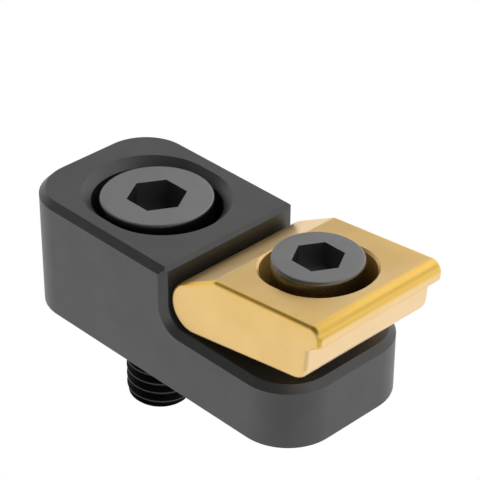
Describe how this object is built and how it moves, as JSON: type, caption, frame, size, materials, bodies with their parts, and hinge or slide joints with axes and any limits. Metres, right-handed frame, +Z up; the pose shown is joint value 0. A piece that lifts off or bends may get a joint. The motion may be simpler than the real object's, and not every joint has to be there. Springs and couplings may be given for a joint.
{
  "type": "wedge clamp",
  "caption": "Small steel wedge clamp with a stepped base, a sunk socket head mounting screw and a tilting, brass-coloured jaw pressed down by a second screw.",
  "frame": {"origin": "where the mounting screw's axis meets the plane of the base's underside", "axes": "+X from the mounting screw to the jaw's nose, +Y across the clamp, +Z up out of the base"},
  "size_m": [0.0466, 0.02, 0.0309],
  "materials": {
    "blackened_steel": "satin black oxide",
    "screw_steel": "satin black oxide",
    "jaw_coating": "satin gold-coloured hard coating on steel",
    "plain_steel": "bare satin steel"
  },
  "bodies": {
    "base": {"base": "blackened_steel", "spring": "plain_steel"},
    "mounting_screw": {"mounting_screw": "screw_steel"},
    "jaw": {"jaw": "jaw_coating"},
    "washer": {"rocker_washer": "plain_steel"},
    "jaw_screw": {"jaw_screw": "screw_steel"}
  },
  "joints": [
    {"name": "mounting_screw_spin", "type": "hinge", "parent": "base", "child": "mounting_screw", "pos_m": [0, 0, 0], "axis": [0, 0, -1], "continuous": true},
    {"name": "washer_slide", "type": "slide", "parent": "base", "child": "washer", "axis": [0, 0, -1], "range_m": [0, 0.00164]},
    {"name": "jaw_screw_turn", "type": "hinge", "parent": "washer", "child": "jaw_screw", "pos_m": [0.025, 0, 0.0153], "axis": [0, 0, -1], "range_deg": [0, 590]},
    {"name": "jaw_tilt", "type": "hinge", "parent": "base", "child": "jaw", "pos_m": [0.01526, 0, 0.01108], "axis": [0, 1, 0], "range_deg": [0, 9], "deforming": ["spring"]}
  ],
  "couplings": [
    {"joint": "jaw_screw_turn", "follows": "washer_slide", "rad_per_m": 6283.2},
    {"joint": "jaw_tilt", "follows": "washer_slide", "rad_per_m": 95.85}
  ]
}
